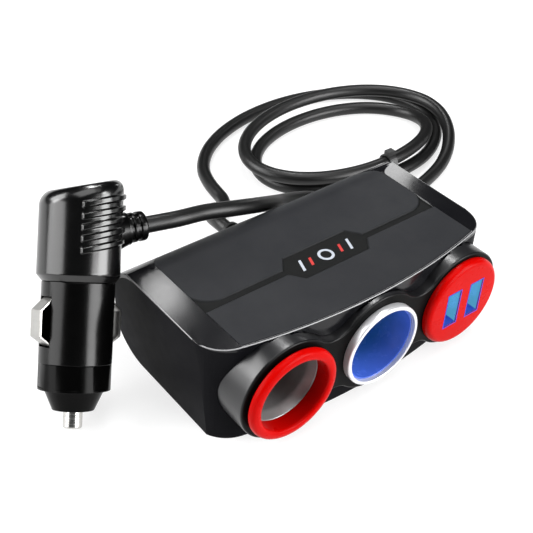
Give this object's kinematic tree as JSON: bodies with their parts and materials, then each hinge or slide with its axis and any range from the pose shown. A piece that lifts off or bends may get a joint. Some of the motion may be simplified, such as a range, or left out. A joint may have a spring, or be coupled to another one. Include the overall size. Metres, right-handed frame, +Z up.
{
  "type": "car power socket splitter",
  "caption": "Flat box with round 12 V sockets and upright USB ports in its front, on a coiled cord that ends in an angled car power plug with a sprung tip and side contacts.",
  "frame": {"origin": "on the table, under the middle of the box with its rings, without the cord, gland and plug", "axes": "+X across the box towards the USB ports, +Y from the sockets towards the rear wall, +Z up"},
  "size_m": [0.2241, 0.1568, 0.0615],
  "materials": {
    "case_black": "glossy black moulded plastic with soft highlights",
    "panel_grey": "matte dark grey fine-grained panel",
    "bezel_black": "semi-gloss black plastic with a soft grey sheen",
    "ring_red": "glossy signal red plastic",
    "silver_ring": "bright satin turned ring",
    "barrel_steel": "drawn steel, lightly streaked round the bore",
    "glow_blue": "translucent blue light ring, lit",
    "usb_steel": "bright plated shell",
    "usb_tongue": "white moulded tongue",
    "base_black": "black phenolic disc",
    "contact_brass": "bright brass",
    "spring_steel": "bright spring steel",
    "board_green": "green lacquered circuit board",
    "led_white": "clear lamp chips",
    "parts_dark": "dark sleeves of electronic parts",
    "wire_red": "soft red insulation",
    "wire_black": "soft black insulation",
    "screw_steel": "dark zinc-plated screws",
    "cord_black": "satin black soft jacket",
    "plug_black": "semi-gloss black moulding",
    "contact_nickel": "nickel-plated contacts with fine scratches",
    "fuse_glass": "glass fuse tube with end caps"
  },
  "bodies": {
    "root": {"lower_case": "case_black", "top_cover": "case_black", "centre_panel": "panel_grey", "front_bezel": "bezel_black", "left_trim_ring": "ring_red", "left_socket_barrel": "barrel_steel", "left_socket_base": "base_black", "left_contact_spring": "spring_steel", "middle_trim_ring": "silver_ring", "middle_glow_liner": "glow_blue", "middle_socket_barrel": "barrel_steel", "middle_socket_base": "base_black", "middle_contact_spring": "spring_steel", "glow_board": "board_green", "glow_leds": "led_white", "usb_faceplate": "ring_red", "usb_port_left": "usb_steel", "usb_port_right": "usb_steel", "usb_tongues": "usb_tongue", "usb_board": "board_green", "power_inductor": "parts_dark", "board_capacitors": "parts_dark", "supply_wires": "wire_red", "ground_wires": "wire_black", "cover_screws": "screw_steel", "cord_gland": "cord_black", "cord_body_lead": "cord_black", "cord_coil": "cord_black", "cord_plug_lead": "cord_black", "cable_tie": "wire_black", "plug_neck": "plug_black", "plug_head": "plug_black", "plug_grip_pad": "plug_black", "plug_barrel": "plug_black", "fuse_terminal": "contact_brass"},
    "left_contact": {"left_centre_contact": "contact_brass"},
    "middle_contact": {"middle_centre_contact": "contact_brass"},
    "left_leaf": {"side_contact_left": "contact_nickel"},
    "right_leaf": {"side_contact_right": "contact_nickel"},
    "fuse_carrier": {"plug_fuse": "fuse_glass", "plug_tip_spring": "spring_steel"},
    "nose_cap": {"plug_nose_cap": "plug_black"},
    "tip": {"plug_tip_pin": "contact_nickel"}
  },
  "joints": [
    {"name": "left_contact_press", "type": "slide", "parent": "root", "child": "left_contact", "axis": [0, 1, 0], "range_m": [0, 0.0012], "stiffness_N_per_m": 800, "deforming": ["left_contact_spring"]},
    {"name": "middle_contact_press", "type": "slide", "parent": "root", "child": "middle_contact", "axis": [0, 1, 0], "range_m": [0, 0.0012], "stiffness_N_per_m": 800, "deforming": ["middle_contact_spring"]},
    {"name": "left_leaf_press", "type": "slide", "parent": "root", "child": "left_leaf", "axis": [0.9126, -0.0988, -0.3968], "range_m": [0, 0.0024], "stiffness_N_per_m": 1500},
    {"name": "right_leaf_press", "type": "slide", "parent": "root", "child": "right_leaf", "axis": [-0.9126, 0.0988, 0.3968], "range_m": [0, 0.0024], "stiffness_N_per_m": 1500},
    {"name": "fuse_travel", "type": "slide", "parent": "root", "child": "fuse_carrier", "axis": [-0.3926, -0.4831, -0.7826], "range_m": [0, 0.005]},
    {"name": "cap_turn", "type": "hinge", "parent": "fuse_carrier", "child": "nose_cap", "pos_m": [-0.07141, 0.02186, 0.02568], "axis": [-0.3926, -0.4831, -0.7826], "range_deg": [0, 1440]},
    {"name": "tip_press", "type": "slide", "parent": "nose_cap", "child": "tip", "axis": [0.3926, 0.4831, 0.7826], "range_m": [0, 0.0022], "stiffness_N_per_m": 1000, "deforming": ["plug_tip_spring"]}
  ],
  "couplings": [
    {"joint": "fuse_travel", "follows": "cap_turn", "m_per_rad": 0.00019894}
  ]
}
